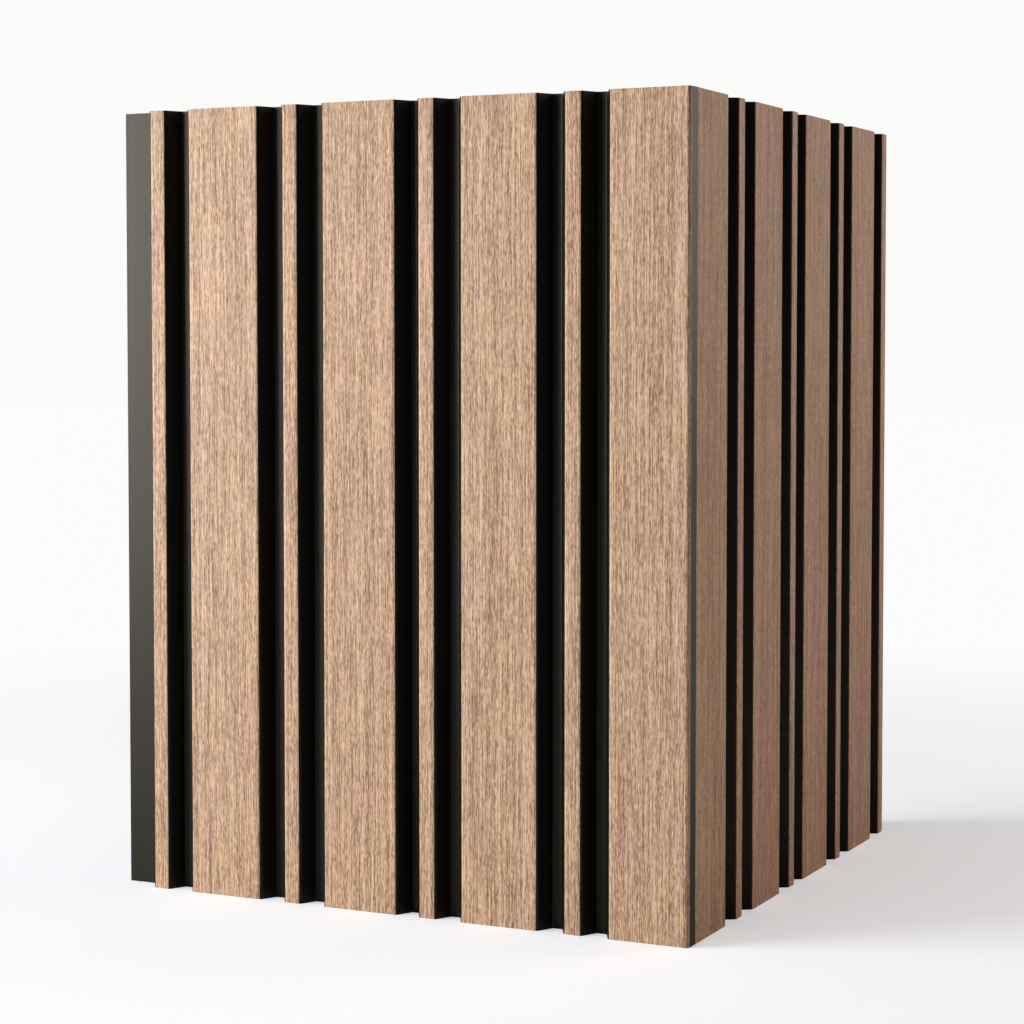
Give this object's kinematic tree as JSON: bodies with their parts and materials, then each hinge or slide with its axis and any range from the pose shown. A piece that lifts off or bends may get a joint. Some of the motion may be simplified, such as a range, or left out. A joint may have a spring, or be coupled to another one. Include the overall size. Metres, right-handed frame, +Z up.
{
  "type": "slatted wall panel corner",
  "caption": "Outside corner of slatted wall panels: wood-effect slats on a grooved black base, lapped edge to edge, for covering the corner of a wall.",
  "frame": {"origin": "on the floor, in the middle of the box around both legs", "axes": "+Z up along the slats, -Y out of the front leg's face, +X out of the side leg's face"},
  "size_m": [0.2502, 0.2572, 0.316],
  "materials": {
    "black_foam": "satin extruded skin",
    "oak_foil": "matt embossed foil"
  },
  "bodies": {
    "root": {"front_outer_panel": "black_foam", "front_outer_narrow_foil_1": "oak_foil", "front_outer_wide_foil_1": "oak_foil", "front_outer_narrow_foil_2": "oak_foil", "front_outer_wide_foil_2": "oak_foil", "front_corner_panel": "black_foam", "front_corner_narrow_foil_1": "oak_foil", "front_corner_wide_foil_1": "oak_foil", "front_corner_narrow_foil_2": "oak_foil", "front_corner_wide_foil_2": "oak_foil", "side_corner_panel": "black_foam", "side_corner_narrow_foil_1": "oak_foil", "side_corner_wide_foil_1": "oak_foil", "side_corner_narrow_foil_2": "oak_foil", "side_corner_wide_foil_2": "oak_foil", "side_outer_panel": "black_foam", "side_outer_narrow_foil_1": "oak_foil", "side_outer_wide_foil_1": "oak_foil", "side_outer_narrow_foil_2": "oak_foil", "side_outer_wide_foil_2": "oak_foil"}
  },
  "joints": []
}
